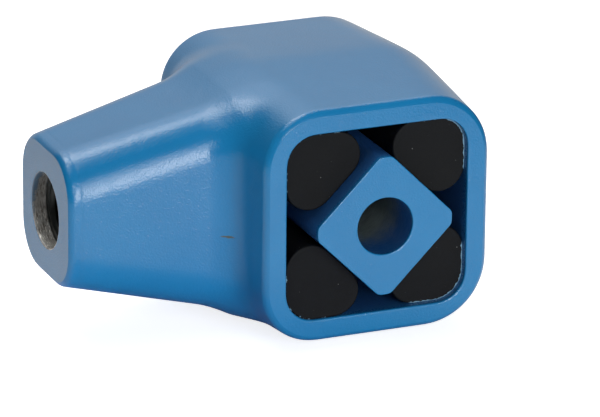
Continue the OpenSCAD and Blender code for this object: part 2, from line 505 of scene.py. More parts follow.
@dataclass
class Effects:
    """Node groups that more than one finish uses."""

    stipple_grain: float = 0.8 * MM
    wave_grain: float = 7.0 * MM
    # Lumps of the overspray's clouds and of its mist, and the clouds' strength against the mist's
    cloud_grain: float = 4.0 * MM
    mist_grain: float = 0.6 * MM
    cloud_share: float = 0.9
    # How soft the edge of a fleck is, as a step of its noise
    fleck_edge: float = 0.03
    peel: bpy.types.NodeTree = field(init=False)
    flecks: bpy.types.NodeTree = field(init=False)
    overspray: bpy.types.NodeTree = field(init=False)

    def __post_init__(self) -> None:
        """Builds the three groups."""
        self.peel = self._peel()
        self.flecks = self._flecks()
        self.overspray = self._overspray()

    def _peel(self) -> bpy.types.NodeTree:
        """Builds the fine unevenness of sprayed paint, over long soft waves of the casting.

        Returns:
            The group, which gives two heights.
        """
        bench, given, out = new_effect("Orange peel", {"Vector": "Vector", "Fine": "Float", "Broad": "Float"},
                                       {"Stipple": "Float", "Wave": "Float"})
        where = given.outputs["Vector"]
        fine = bench.maths("MULTIPLY", bench.noise(where, self.stipple_grain, 1.0), given.outputs["Fine"])
        broad = bench.maths("MULTIPLY", bench.noise(where, self.wave_grain, 1.0), given.outputs["Broad"])
        bench.feed(out.inputs["Stipple"], fine)
        bench.feed(out.inputs["Wave"], broad)
        return bench.tree

    def _flecks(self) -> bpy.types.NodeTree:
        """Builds ragged spots that cover about the asked share of the surface.

        Returns:
            The group, which gives the spots' mask.
        """
        bench, given, out = new_effect("Flecks", {"Vector": "Vector", "Grain": "Float", "Cover": "Float"},
                                       {"Mask": "Float"})
        speckle = bench.noise(given.outputs["Vector"], given.outputs["Grain"], 3.0)
        # The noise lies between about 0.25 and 0.75, so the cover is set between them
        level = bench.maths("SUBTRACT", 0.75, bench.maths("MULTIPLY", given.outputs["Cover"], 0.5))
        over = bench.maths("SUBTRACT", speckle, level)
        bench.feed(out.inputs["Mask"], bench.ramp(over, 0.0, self.fleck_edge))
        return bench.tree

    def _overspray(self) -> bpy.types.NodeTree:
        """Builds how paint thins out from a mouth into a hole.

        Returns:
            The group, which gives the paint's cover.
        """
        inputs = {"Vector": "Vector", "Depth": "Float", "Solid": "Float", "Bare": "Float", "Ragged": "Float"}
        bench, given, out = new_effect("Overspray", inputs, {"Paint": "Float"})
        where = given.outputs["Vector"]
        share = bench.add("MapRange", {"Value": given.outputs["Depth"], "From Min": given.outputs["Solid"],
                                       "From Max": given.outputs["Bare"], "To Min": 1.0, "To Max": 0.0})
        cloud = bench.wobble(where, self.cloud_grain, 3.0)
        mist = bench.wobble(where, self.mist_grain, 2.0)
        uneven = bench.plus(mist, cloud, self.cloud_share)
        paint = bench.plus(share.outputs["Result"], uneven, given.outputs["Ragged"])
        bench.feed(out.inputs["Paint"], bench.ramp(paint, 0.2, 0.8))
        return bench.tree


@dataclass(frozen=True)
class Finish:
    """What every finish has: a name, and a bench whose shader is ready to be joined."""

    name: str
    effects: Effects

    def start(self, specular: float = 0.5) -> tuple[bpy.types.Material, Bench, bpy.types.Node]:
        """Starts a material.

        Args:
            specular: Strength of the plain reflection.

        Returns:
            The material, its bench and its shader.
        """
        material = bpy.data.materials.new(self.name)
        material.use_nodes = True
        bench = Bench(material.node_tree)
        shader = bench.add("BsdfPrincipled", {"Specular IOR Level": specular})
        bench.add("OutputMaterial", {"Surface": shader.outputs[0]})
        return material, bench, shader

    def bump(self, bench: Bench, shader: bpy.types.Node, height: Socket) -> None:
        """Lets a height in metres bend the shader's normal."""
        node = bench.add("Bump", {"Height": height, "Strength": 1.0, "Distance": 1.0})
        bench.feed(shader.inputs["Normal"], node.outputs[0])


@dataclass(frozen=True)
class GlossPaint(Finish):
    """Thick blue gloss enamel, sprayed over the casting and the core together."""

    colour: Colour = (0.009, 0.222, 0.505)
    deep: Colour = (0.008, 0.207, 0.48)
    # Painted shade: the darker blue of the tunnel's walls and the core's sides, where the attribute inside is
    # high
    inner: Colour = (0.022, 0.105, 0.32)
    scuff: Colour = (0.075, 0.10, 0.085)
    tone_grain: float = 30 * MM
    # Roughness and strength of the paint's sharp gloss, and what spots, haze and wear add to the roughness;
    # the wear also roughens the paint where the painted shade lies
    gloss: float = 0.06
    gloss_level: float = 0.42
    stipple: float = 0.08
    haze: float = 0.04
    haze_grain: float = 12 * MM
    worn: float = 0.25
    # Roughness and strength of the soft sheen round the gloss
    sheen: float = 0.36
    sheen_level: float = 0.5
    peel_fine: float = 0.13 * MM
    peel_broad: float = 0.10 * MM
    # Place, half width and depth of the groove behind the bead of paint on the neck's end
    groove_x: float = -115.4 * MM
    groove_half: float = 0.9 * MM
    groove_depth: float = 0.12 * MM
    # How far it wanders, and over what length
    groove_wander: float = 1.5 * MM
    groove_grain: float = 5 * MM
    # Middle, direction and half size of a rub mark on the neck's near side
    scuff_at: tuple[float, float, float] = (-55.6 * MM, -36.2 * MM, -7.5 * MM)
    scuff_way: tuple[float, float, float] = (0.80, -0.60, 0.0)
    scuff_half: tuple[float, float] = (2.8 * MM, 0.4 * MM)
    # How far the mark's edges wander, in half heights, and over what length
    scuff_wander: float = 3.0
    scuff_grain: float = 1.5 * MM

    def build(self) -> bpy.types.Material:
        """Builds the material.

        Returns:
            The material, which reads the attribute inside, which carries its painted shade, where a mesh has
            it.
        """
        material, bench, shader = self.start(self.gloss_level)
        bench.feed(shader.inputs["Coat Weight"], self.sheen_level)
        bench.feed(shader.inputs["Coat Roughness"], self.sheen)
        where = bench.add("TexCoord").outputs["Object"]
        inside = bench.add("Attribute", attribute_name=Mark.PAINTED_SHADE.value).outputs["Fac"]
        scuff = self._scuff(bench, where)
        tone = bench.ramp(bench.noise(where, self.tone_grain, 3.0), 0.3, 0.7)
        colour = bench.tint(tone, self.deep, self.colour)
        # Painted shade: the paint turns to the darker inner blue where the attribute inside is high
        colour = bench.tint(inside, colour, self.inner)
        bench.feed(shader.inputs["Base Color"], bench.tint(scuff, colour, self.scuff))
        spots = bench.ramp(bench.noise(where, self.effects.stipple_grain, 1.0), 0.4, 0.62)
        cloud = bench.ramp(bench.noise(where, self.haze_grain, 3.0), 0.3, 0.7)
        rough = bench.plus(self.gloss, spots, self.stipple)
        rough = bench.plus(rough, cloud, self.haze)
        rough = bench.plus(rough, bench.maths("MAXIMUM", inside, scuff), self.worn)
        bench.feed(shader.inputs["Roughness"], rough)
        peel = bench.group(self.effects.peel, {"Vector": where, "Fine": self.peel_fine,
                                               "Broad": self.peel_broad})
        wave = bench.maths("SUBTRACT", peel.outputs["Wave"], self._groove(bench, where))
        self.bump(bench, shader, bench.maths("ADD", wave, peel.outputs["Stipple"]))
        return material

    def _groove(self, bench: Bench, where: Socket) -> Socket:
        """Sinks the paint a little behind the bead that it forms round the neck's end.

        Args:
            bench: The material's bench.
            where: Coordinates, in metres.

        Returns:
            The groove's depth.
        """
        wander = bench.wobble(where, self.groove_grain, 2.0)
        along = bench.plus(bench.coordinate(where, "X"), wander, self.groove_wander)
        share = bench.maths("DIVIDE", bench.maths("SUBTRACT", along, self.groove_x), self.groove_half)
        bell = bench.maths("EXPONENT", bench.maths("MULTIPLY", bench.squared(share), -1.0))
        return bench.maths("MULTIPLY", bell, self.groove_depth)

    def _scuff(self, bench: Bench, where: Socket) -> Socket:
        """Puts one thin rub mark on the near side of the neck.

        Args:
            bench: The material's bench.
            where: Coordinates, in metres.

        Returns:
            The mark's mask.
        """
        half_len, half_height = self.scuff_half
        offset = bench.vector("SUBTRACT", where, self.scuff_at)
        along = bench.maths("DIVIDE", bench.measure("DOT_PRODUCT", offset, self.scuff_way), half_len)
        rise = bench.maths("DIVIDE", bench.coordinate(offset, "Z"), half_height)
        rise = bench.plus(rise, bench.wobble(where, self.scuff_grain, 2.0), self.scuff_wander)
        thin = bench.ramp(bench.maths("ADD", bench.squared(along), bench.squared(rise)), 1.6, 0.5)
        close = bench.ramp(bench.measure("LENGTH", offset), 2 * half_len, half_len)
        return bench.maths("MULTIPLY", thin, close)


@dataclass(frozen=True)
class BareMetal(Finish):
    """Machined cast metal in a hole: paint mist thins from the mouth, painted shade darkens it deep in."""

    # Direction into the hole, its mouth along it, and where the paint ends
    into: tuple[float, float, float] = (1.0, 0.0, 0.0)
    mouth: float = 0.0
    solid: float = 0.0
    bare: float = 3 * MM
    ragged: float = 1.0
    # How much deeper the paint reaches at the top than at the bottom, per length of height
    lean: float = 0.0
    # How strongly painted glints show on the scratch marks in the lower half
    painted_scratch_glints: float = 0.0
    # Depths between which the metal of the mouth turns into the painted shade behind it
    painted_shade_start: float = 5.2 * MM
    painted_shade_full: float = 6.0 * MM
    metal: Colour = (0.56, 0.55, 0.52)
    stain: Colour = (0.20, 0.18, 0.15)
    painted_glint: Colour = (0.95, 0.92, 0.85)
    # Painted shade deep in the hole
    dark: Colour = (0.025, 0.03, 0.028)
    paint: Colour = (0.12, 0.20, 0.29)
    # How metallic the bare surface is, its roughness, and what the grain adds to it
    metallic: float = 0.5
    smooth: float = 0.3
    rough_grain: float = 0.22
    # The tool's marks run round the hole, so their patterns are squeezed this much along it
    squeeze: float = 6.0
    grain: float = 3 * MM
    blotch: float = 5 * MM
    cut_grain: float = 1.2 * MM
    cut_depth: float = 0.06 * MM
    # Size and cover of the scratch marks, and the height under the axis at which their painted glint shows in
    # full
    scratch_grain: float = 2.2 * MM
    scratch_cover: float = 0.36
    painted_glint_low: float = -9 * MM

    def build(self) -> bpy.types.Material:
        """Builds the material.

        Returns:
            The material of the hole's walls.
        """
        material, bench, shader = self.start()
        where = bench.add("TexCoord").outputs["Object"]
        # Both ends of a through bore count from their own mouth, so the depth comes from the length
        length = bench.measure("LENGTH", bench.vector("MULTIPLY", where, self.into))
        depth = bench.maths("SUBTRACT", self.mouth, length)
        height = bench.coordinate(where, "Z")
        leant = bench.maths("SUBTRACT", depth, bench.maths("MULTIPLY", height, self.lean))
        mist = {"Vector": where, "Depth": leant, "Solid": self.solid, "Bare": self.bare,
                "Ragged": self.ragged}
        cover = bench.group(self.effects.overspray, mist).outputs["Paint"]
        scale = tuple(self.squeeze if axis else 1.0 for axis in self.into)
        squeezed = bench.add("Mapping", {"Vector": where, "Scale": scale}).outputs[0]
        grain = bench.ramp(bench.noise(squeezed, self.grain, 4.0), 0.38, 0.62)
        blotch = bench.ramp(bench.noise(where, self.blotch, 3.0), 0.3, 0.6)
        metal = bench.tint(bench.maths("MULTIPLY", grain, blotch), self.metal, self.stain)
        marks = bench.group(self.effects.flecks, {"Vector": squeezed, "Grain": self.scratch_grain,
                                                  "Cover": self.scratch_cover})
        low = bench.maths("MULTIPLY", bench.ramp(height, 0.0, self.painted_glint_low), self.painted_scratch_glints)
        # Painted highlight: the scratch marks in the lower half take the near-white glint colour
        metal = bench.tint(bench.maths("MULTIPLY", marks.outputs["Mask"], low), metal, self.painted_glint)
        # Painted shade: the metal darkens with depth, between the two depths
        metal = bench.tint(bench.ramp(depth, self.painted_shade_start, self.painted_shade_full), metal, self.dark)
        bench.feed(shader.inputs["Base Color"], bench.tint(cover, metal, self.paint))
        clean = bench.maths("SUBTRACT", 1.0, cover)
        bench.feed(shader.inputs["Metallic"], bench.maths("MULTIPLY", clean, self.metallic))
        bench.feed(shader.inputs["Roughness"], bench.plus(self.smooth, grain, self.rough_grain))
        cuts = bench.noise(squeezed, self.cut_grain, 2.0)
        self.bump(bench, shader, bench.maths("MULTIPLY", cuts, self.cut_depth))
        return material


@dataclass(frozen=True)
class CutRubber(Finish):
    """Matt black natural rubber with a bloom, dust specks and a ragged line of paint on its rim."""

    colour: Colour = (0.0022, 0.0030, 0.0042)
    bloom: Colour = (0.0065, 0.0076, 0.0090)
    speck: Colour = (0.35, 0.36, 0.36)
    mist: Colour = (0.20, 0.38, 0.52)
    # Strength of its reflection, its roughness, and what the bloom adds to it
    shine: float = 0.17
    smooth: float = 0.58
    rough_bloom: float = 0.14
    bloom_grain: float = 9 * MM
    # Size and cover of the dust specks, raggedness of the paint line, and the skin's grain and its depth
    speck_grain: float = 1.2 * MM
    speck_cover: float = 0.02
    line_grain: float = 1.8 * MM
    skin_grain: float = 0.9 * MM
    skin_depth: float = 0.10 * MM

    def build(self) -> bpy.types.Material:
        """Builds the material.

        Returns:
            The material, which reads the attribute mist for the paint line.
        """
        material, bench, shader = self.start(self.shine)
        where = bench.add("TexCoord").outputs["Object"]
        cloud = bench.ramp(bench.noise(where, self.bloom_grain, 4.0), 0.35, 0.7)
        colour = bench.tint(cloud, self.colour, self.bloom)
        specks = bench.group(self.effects.flecks, {"Vector": where, "Grain": self.speck_grain,
                                                   "Cover": self.speck_cover})
        colour = bench.tint(specks.outputs["Mask"], colour, self.speck)
        line = bench.add("Attribute", attribute_name=Mark.MIST.value).outputs["Fac"]
        ragged = bench.maths("ADD", line, bench.wobble(where, self.line_grain, 3.0))
        painted = bench.ramp(ragged, 0.4, 0.5)
        bench.feed(shader.inputs["Base Color"], bench.tint(painted, colour, self.mist))
        bench.feed(shader.inputs["Roughness"], bench.plus(self.smooth, cloud, self.rough_bloom))
        skin = bench.noise(where, self.skin_grain, 4.0)
        self.bump(bench, shader, bench.maths("MULTIPLY", skin, self.skin_depth))
        return material


@dataclass(frozen=True)
class CastingForm:
    """The outside of the casting, as a distance that is negative inside the metal."""

    rim_y: float = 58.7 * MM
    rim_half: float = 48.8 * MM
    # How far the sides swell from the rims to mid-length, and how soft the ridge there is
    draft: float = 3.4 * MM
    ridge_soft: float = 0.12
    neck_side_corner_r: float = 23.6 * MM
    far_side_corner_r: float = 26.4 * MM
    rim_round: float = 3.6 * MM
    rim_cut: float = 0.3 * MM
    neck_reach: float = 120.2 * MM
    neck_end_half: float = 28.0 * MM
    neck_end_corner_r: float = 18.0 * MM
    neck_end_round: float = 3.0 * MM
    neck_end_cut: float = 0.45 * MM
    neck_root_half_w: float = 34.5 * MM
    neck_root_drop: float = 3.7 * MM
    neck_root_corner_r: float = 17.6 * MM
    root_blend: float = 14.6 * MM
    # Radius of the curve by which the neck's top and underside dive into the body
    crown_dive_r: float = 45.0 * MM

    def gap(self, points: np.ndarray) -> np.ndarray:
        """Measures the distance from body and neck together.

        Args:
            points: Rows of X, Y and Z.

        Returns:
            The distances.
        """
        return blended(self._body(points), self._neck(points), self.root_blend)

    def _body(self, points: np.ndarray) -> np.ndarray:
        """Measures the distance from the body, which swells from its rims to mid-length.

        Args:
            points: Rows of X, Y and Z.

        Returns:
            The distances.
        """
        x, y, z = points.T
        share = np.abs(y) / self.rim_y
        soft = self.ridge_soft
        fall = (np.hypot(share, soft) - soft) / (np.hypot(1, soft) - soft)
        half = self.rim_half + self.draft * (1 - fall)
        inset = edge_inset(self.rim_y - np.abs(y), self.rim_round, self.rim_cut)
        return rounded_gap(x, z, half, half, self._corner_r(x)) + inset

    def _corner_r(self, x: np.ndarray) -> np.ndarray:
        """Gives the radius of the body's long corners, on the neck's side and on the far side."""
        return np.where(x < 0, self.neck_side_corner_r, self.far_side_corner_r)

    def _neck(self, points: np.ndarray) -> np.ndarray:
        """Measures the distance from the neck, which tapers to its end and stops inside the body.

        Args:
            points: Rows of X, Y and Z.

        Returns:
            The distances.
        """
        x, y, z = points.T
        share = np.clip((x + self.neck_reach) / (self.neck_reach - self.rim_half), 0, 1)
        half_w = mix(self.neck_end_half, self.neck_root_half_w, share)
        dive = np.maximum(x + self.rim_half, 0) ** 2 / (2 * self.crown_dive_r)
        half_h = mix(self.neck_end_half, self.rim_half - self.neck_root_drop, share) - dive
        radius = mix(self.neck_end_corner_r, self.neck_root_corner_r, share)
        inset = edge_inset(x + self.neck_reach, self.neck_end_round, self.neck_end_cut)
        return np.maximum(rounded_gap(y, z, half_w, half_h, radius) + inset, x)

    def skin(self, hubs: np.ndarray, ways: np.ndarray) -> np.ndarray:
        """Finds where rays from inside the metal leave it."""
        return reach(self.gap, hubs, ways, RAY_START, 2 * self.rim_half)


@dataclass
class Housing:
    """The casting: body, neck, tunnel and tapped hole, grown ring by ring."""

    paint: bpy.types.Material
    metal: bpy.types.Material
    form: CastingForm = field(default_factory=CastingForm)
    tunnel_half: float = 39.3 * MM
    tunnel_corner_r: float = 12.3 * MM
    tunnel_lip: float = 0.7 * MM
    # Half of the length of body that the neck's root covers
    root_half: float = 44.5 * MM
    # How much of the root's blend lies between the body and the neck's first ring
    fan_share: float = 0.55
    mouth_r: float = 15.5 * MM
    mouth_lip: float = 0.5 * MM
    mouth_depth: float = 6.0 * MM
    hole_r: float = 12.25 * MM
    hole_depth: float = 50.0 * MM
    tip_depth: float = 56.2 * MM
    # Depth behind the rim at which painted shade has fully darkened the tunnel's paint
    painted_shade_depth: float = 2.5 * MM
    # Rings over the rims' rounds, from there to the root, over the root, and along the neck to its end
    rim_rings: int = 6
    shoulder_rings: int = 5
    root_rings: int = 8
    flare_rings: int = 3
    neck_rings: int = 10
    end_rings: int = 5
    lip_rings: int = 3
    # Where the flat faces have their rings, each as a share of the way in that is left
    end_face_shares: tuple[float, ...] = (0.06, 0.5, 0.88)
    rim_face_shares: tuple[float, ...] = (0.07, 0.45, 0.85)
    # Depths of the rings behind the tunnel's lip, and half of the length that its last faces bridge
    tunnel_depths: tuple[float, ...] = (1.6 * MM, 6 * MM, 25 * MM)
    tunnel_middle: float = 4 * MM
    levels: int = 1

    def build(self) -> bpy.types.Object:
        """Builds and dresses the casting.

        Returns:
            The piece that stands for the housing.
        """
        bm = bmesh.new()
        bm.edges.layers.float.new(CREASE_LAYER)
        near_rim, far_rim = self._tube(bm)
        end = self._neck(bm)
        self._hole(bm, end)
        self._tunnel(bm, near_rim, far_rim)
        keep_crisp(bm, near_rim + far_rim + end)
        self._mark_painted_shade(bm)
        piece = finished_piece(bm, "housing_casting", self.levels, [self.paint, self.metal])
        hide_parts("housing")
        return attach(piece, Body.CASING.value)

    def _tube(self, bm: BMesh) -> tuple[list[BMEdge], list[BMEdge]]:
        """Grows the body from rim to rim, with no neck yet.

        Args:
            bm: The empty mesh.

        Returns:
            The outer rings of the near rim and of the far rim.
        """
        form = self.form
        rounds = [form.rim_y - depth for depth in cut_round(form.rim_round, form.rim_cut, self.rim_rings)]
        shoulder = np.linspace(rounds[-1], self.root_half, self.shoulder_rings + 2)[1:-1]
        side = [*rounds, *shoulder]
        middle = np.linspace(-self.root_half, self.root_half, AROUND // 4 + 1)
        stations = [*(-y for y in side), *middle, *side[::-1]]
        near = first_ring(bm, AROUND, partial(self._body_ring, stations[0]))
        ring = near
        for y in stations[1:]:
            ring = grow(bm, ring, partial(self._body_ring, y))
        return near, ring

    def _neck(self, bm: BMesh) -> list[BMEdge]:
        """Opens the body on the neck's side and grows the neck.

        Args:
            bm: The mesh, with the body in it.

        Returns:
            The outer ring of the neck's end face.
        """
        form = self.form
        bmesh.ops.delete(bm, geom=[f for f in bm.faces if self._in_root(f)], context="FACES")
        window = [e for e in bm.edges
                  if e.is_boundary and max(abs(v.co.y) for v in e.verts) < self.root_half + MM]
        corner_z = min(v.co.z for v in ring_verts(window) if self._is_root_corner(v.co))
        start = -form.rim_half - self.fan_share * form.root_blend
        ring = grow(bm, window, partial(self._root_ring, start, corner_z))
        self._fill_root(bm, ring)
        flare = -form.rim_half - form.root_blend
        end_round = cut_round(form.neck_end_round, form.neck_end_cut, self.end_rings)
        rounds = [depth - form.neck_reach for depth in end_round[::-1]]
        flared = np.linspace(start, flare, self.flare_rings + 2)[1:-1]
        tapered = np.linspace(flare, rounds[0], self.neck_rings + 1)[:-1]
        for x in [*flared, *tapered, *rounds]:
            ring = grow(bm, ring, partial(self._neck_ring, x))
        return ring

    def _fill_root(self, bm: BMesh, ring: list[BMEdge]) -> None:
        """Divides the faces between the body and the neck's first ring, and lays them on the blend.

        Args:
            bm: The mesh.
            ring: The neck's first ring.
        """
        verts = ring_verts(ring)
        fresh = set(verts)
        links = [e for v in verts for e in v.link_edges if (e.verts[0] in fresh) != (e.verts[1] in fresh)]
        parts = bmesh.ops.subdivide_edges(bm, edges=links, cuts=self.root_rings, use_grid_fill=True)
        move([g for g in parts["geom_inner"] if isinstance(g, BMVert)], self._root_skin)

    def _in_root(self, face: BMFace) -> bool:
        """Tells whether a face of the tube lies where the neck grows out."""
        centre = face.calc_center_median()
        return abs(centre.y) < self.root_half and centre.x < 0 and abs(centre.z) < abs(centre.x)

    def _is_root_corner(self, place: Vector) -> bool:
        """Tells whether a point of the root's edge is one of its upper corners, on the body's diagonal."""
        at_end = abs(place.y) > self.root_half - 0.1 * MM
        return at_end and -self.form.rim_half < place.x < 0 < place.z and abs(place.z + place.x) < 0.5 * MM

    def _body_ring(self, y: float, points: np.ndarray) -> np.ndarray:
        """Places a ring of the body at one station along its length."""
        return self.form.skin(repeated([0, y, 0], points), points * [1, 0, 1])

    def _root_ring(self, x: float, corner_z: float, points: np.ndarray) -> np.ndarray:
        """Places the neck's first ring, straight out from the root's edge."""
        return self.form.skin(repeated([x, 0, 0], points), points * [0, 1 / self.root_half, 1 / corner_z])

    def _root_skin(self, points: np.ndarray) -> np.ndarray:
        """Lays points of the root on the blend, along rays from inside the body."""
        hub = np.array([-self.form.rim_half / 2, 0, 0])
        return self.form.skin(repeated(hub, points), points - hub)

    def _neck_ring(self, x: float, points: np.ndarray) -> np.ndarray:
        """Places a ring of the neck at one station along its reach."""
        return self.form.skin(repeated([x, 0, 0], points), points * [0, 1, 1])

    def _hole(self, bm: BMesh, ring: list[BMEdge]) -> None:
        """Closes the neck's end with its face, the plain mouth, the step and the hole behind it.

        Args:
            bm: The mesh.
            ring: The outer ring of the end face.
        """
        for share in self.end_face_shares:
            ring = grow(bm, ring, partial(self._end_face_ring, share))
        for inset, depth in quarter_round(self.mouth_lip, self.lip_rings):
            painted = depth == 0
            ring = grow(bm, ring, partial(self._hole_ring, self.mouth_r + inset, depth), 0 if painted else 1)
        for radius, depth in self._hole_profile():
            ring = grow(bm, ring, partial(self._hole_ring, radius, depth), material=1)
        tip = Vector((self.tip_depth - self.form.neck_reach, 0, 0))
        bmesh.ops.pointmerge(bm, verts=ring_verts(ring), merge_co=tip)

    def _hole_profile(self) -> list[tuple[float, float]]:
        """Lists radius and depth along the hole's wall.

        Returns:
            The pairs of the plain mouth and its soft step, of the drilled wall, and of the drill's tip.
        """
        wide, step = self.mouth_r, self.mouth_depth
        narrow, deep = self.hole_r, self.hole_depth
        mouth = [(wide, 1.4 * MM), (wide, step - 0.5 * MM), (wide - 0.15 * MM, step - 0.1 * MM),
                 (wide - 0.5 * MM, step)]
        drilled = [(narrow + 0.8 * MM, step), (narrow + 0.2 * MM, step), (narrow, step + 0.3 * MM),
                   (narrow, step + 2 * MM), (narrow, deep / 2), (narrow, deep - MM), (narrow, deep)]
        tip = [(narrow - MM, deep + 0.6 * MM), (narrow / 2, (deep + self.tip_depth) / 2),
               (0.05 * MM, self.tip_depth)]
        return mouth + drilled + tip

    def _hole_ring(self, radius: float, depth: float, points: np.ndarray) -> np.ndarray:
        """Places a round ring at one depth under the neck's end face."""
        return unit(points * [0, 1, 1]) * radius + [depth - self.form.neck_reach, 0, 0]

    def _end_face_ring(self, share: float, points: np.ndarray) -> np.ndarray:
        """Moves a ring of the neck's end face a share of its way to the mouth."""
        return mix(points, self._hole_ring(self.mouth_r + self.mouth_lip, 0, points), share)

    def _tunnel(self, bm: BMesh, near: list[BMEdge], far: list[BMEdge]) -> None:
        """Closes both rims with their flat faces, and joins them by the tunnel's walls."""
        last = [self._half_tunnel(bm, ring, side) for ring, side in ((near, -1), (far, 1))]
        bmesh.ops.bridge_loops(bm, edges=last[0] + last[1])

    def _half_tunnel(self, bm: BMesh, ring: list[BMEdge], side: int) -> list[BMEdge]:
        """Grows one rim's flat face and its half of the tunnel.

        Args:
            bm: The mesh.
            ring: The rim's outer ring.
            side: -1 for the near rim, 1 for the far rim.

        Returns:
            The last ring, near the tunnel's middle.
        """
        for share in self.rim_face_shares:
            ring = grow(bm, ring, partial(self._rim_face_ring, share, side))
        for inset, depth in quarter_round(self.tunnel_lip, self.lip_rings):
            ring = grow(bm, ring, partial(self._tunnel_ring, inset, depth, side))
        for depth in (*self.tunnel_depths, self.form.rim_y - self.tunnel_middle):
            ring = grow(bm, ring, partial(self._tunnel_ring, 0, depth, side))
        return ring

    def _tunnel_ring(self, offset: float, depth: float, side: int, points: np.ndarray) -> np.ndarray:
        """Places a ring parallel to the tunnel's outline.

        Args:
            offset: How far it lies outside the outline.
            depth: Its depth under the rim.
            side: -1 for the near rim, 1 for the far rim.
            points: The last ring's points.

        Returns:
            The new ring's points.
        """
        gap = partial(self._tunnel_gap, offset)
        hubs = repeated([0, side * (self.form.rim_y - depth), 0], points)
        return reach(gap, hubs, points * [1, 0, 1], RAY_START, 2 * self.tunnel_half)

    def _tunnel_gap(self, offset: float, points: np.ndarray) -> np.ndarray:
        """Measures the distance from the tunnel's outline, grown by an offset."""
        half = self.tunnel_half + offset
        return rounded_gap(points[:, 0], points[:, 2], half, half, self.tunnel_corner_r + offset)

    def _rim_face_ring(self, share: float, side: int, points: np.ndarray) -> np.ndarray:
        """Moves a ring of the flat rim a share of its way to the tunnel's lip."""
        return mix(points, self._tunnel_ring(self.tunnel_lip, 0, side, points), share)

    def _mark_painted_shade(self, bm: BMesh) -> None:
        """Writes the attribute of painted shade, which goes to 1 on the tunnel's walls, behind their lips.

        Args:
            bm: The finished mesh.
        """
        layer = bm.verts.layers.float.new(Mark.PAINTED_SHADE.value)
        wall = self.tunnel_half + self.tunnel_lip / 2
        for vert in bm.verts:
            x, y, z = (abs(c) for c in vert.co)
            if max(x, z) < wall:
                vert[layer] = clamped((self.form.rim_y - y) / self.painted_shade_depth)


@dataclass
class ThreadRidge:
    """The thread of the tapped hole: one ridge that winds along its wall."""

    metal: bpy.types.Material
    major_r: float = 12.0 * MM
    minor_r: float = 10.376 * MM
    pitch: float = 3.0 * MM
    start_x: float = -114.4 * MM
    end_x: float = -71.5 * MM
    # How deep the ridge's foot lies in the wall, half of its crest, and half of the gap between turns
    sunk: float = 0.4 * MM
    crest: float = 0.2 * MM
    foot_gap: float = 0.04 * MM
    # Turns over which it runs out at each end, and how deep its crest lies in the wall there
    run_out_turns: float = 1.2
    run_out_sunk: float = 0.3 * MM
    steps_per_turn: int = 64

    def build(self) -> bpy.types.Object:
        """Winds the ridge and dresses it.

        Returns:
            The piece, which rides with the casting.
        """
        bm = bmesh.new()
        foot = self.pitch / 2 - self.foot_gap
        rise = [(-foot, self.major_r + self.sunk), (foot, self.major_r + self.sunk), (foot, self.major_r),
                (self.crest, self.minor_r), (-self.crest, self.minor_r), (-foot, self.major_r)]
        verts = [bm.verts.new((self.start_x + along, 0, radius)) for along, radius in rise]
        face = bm.faces.new(verts)
        turns = (self.end_x - self.start_x) / self.pitch
        steps = round(turns * self.steps_per_turn)
        bmesh.ops.spin(bm, geom=[face, *face.edges, *verts], cent=(0, 0, 0), axis=(1, 0, 0),
                       dvec=(self.pitch / self.steps_per_turn, 0, 0),
                       angle=2 * math.pi * steps / self.steps_per_turn, steps=steps, use_duplicate=False)
        bmesh.ops.holes_fill(bm, edges=[e for e in bm.edges if e.is_boundary], sides=8)
        move(list(bm.verts), self._run_out)
        piece = finished_piece(bm, "neck_thread", 0, [self.metal])
        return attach(piece, Body.CASING.value)

    def _run_out(self, points: np.ndarray) -> np.ndarray:
        """Lets the ridge sink into the wall over its first and last turn.

        Args:
            points: Points of the even ridge.

        Returns:
            The points, pushed outwards near both ends.
        """
        along = points[:, 0]
        fade = self.run_out_turns * self.pitch
        ease = np.clip(np.minimum(along - self.start_x, self.end_x - along) / fade, 0, 1)
        radius = np.hypot(points[:, 1], points[:, 2])
        sunk = np.maximum(radius, mix(self.major_r + self.run_out_sunk, radius, ease))
        return points * np.stack([np.ones(len(points)), sunk / radius, sunk / radius], axis=1)


